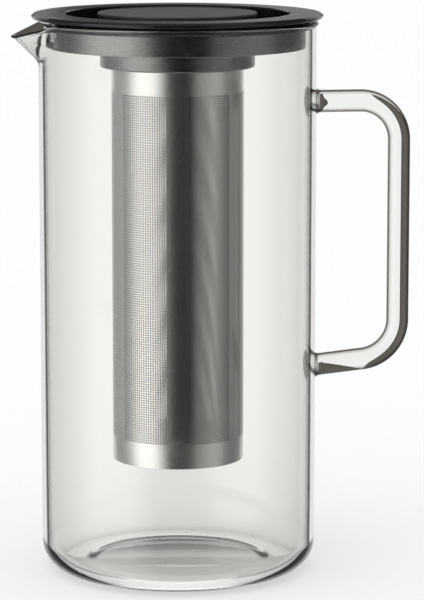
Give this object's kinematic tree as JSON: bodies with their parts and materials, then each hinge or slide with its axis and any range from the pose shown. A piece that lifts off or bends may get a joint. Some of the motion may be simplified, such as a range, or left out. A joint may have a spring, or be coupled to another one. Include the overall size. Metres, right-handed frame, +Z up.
{
  "type": "glass jug",
  "caption": "Tall clear glass jug with a pinched spout and a rod handle, a push-in lid that turns and lifts off, and a perforated steel infuser under a lift-off cap.",
  "frame": {"origin": "centre of the flat foot that the jug stands on, on the jug's axis", "axes": "+Z up along the jug's axis, +X towards the handle, the spout points to -X"},
  "size_m": [0.1602, 0.1154, 0.2238],
  "materials": {
    "glass_body": "clear borosilicate, fire-polished rim",
    "glass_handle": "clear borosilicate rod",
    "lid_gasket": "matt silicone",
    "lid_top": "polished black",
    "lid_skirt": "satin black",
    "pour_strainer": "fine perforated, satin",
    "infuser_collar": "satin black",
    "infuser_tube": "brushed, perforated in panels",
    "infuser_base": "brushed, pressed",
    "cap_body": "satin black",
    "cap_plate": "satin dark grey",
    "cap_seal": "matt silicone"
  },
  "bodies": {
    "jug": {"glass_body": "glass_body", "glass_handle": "glass_handle"},
    "lid_seal": {"lid_gasket": "lid_gasket"},
    "lid": {"lid_top": "lid_top", "lid_skirt": "lid_skirt", "pour_strainer": "pour_strainer"},
    "infuser": {"infuser_collar": "infuser_collar", "infuser_tube": "infuser_tube", "infuser_base": "infuser_base"},
    "cap": {"cap_body": "cap_body", "cap_plate": "cap_plate", "cap_seal": "cap_seal"}
  },
  "joints": [
    {"name": "lid_lift", "type": "slide", "parent": "jug", "child": "lid_seal", "axis": [0, 0, 1], "range_m": [0, 0.185]},
    {"name": "lid_turn", "type": "hinge", "parent": "lid_seal", "child": "lid", "pos_m": [0, 0, 0.2203], "axis": [0, 0, 1], "continuous": true},
    {"name": "infuser_lift", "type": "slide", "parent": "lid", "child": "infuser", "axis": [0, 0, 1], "range_m": [0, 0.19]},
    {"name": "cap_lift", "type": "slide", "parent": "infuser", "child": "cap", "axis": [0, 0, 1], "range_m": [0, 0.03]}
  ]
}
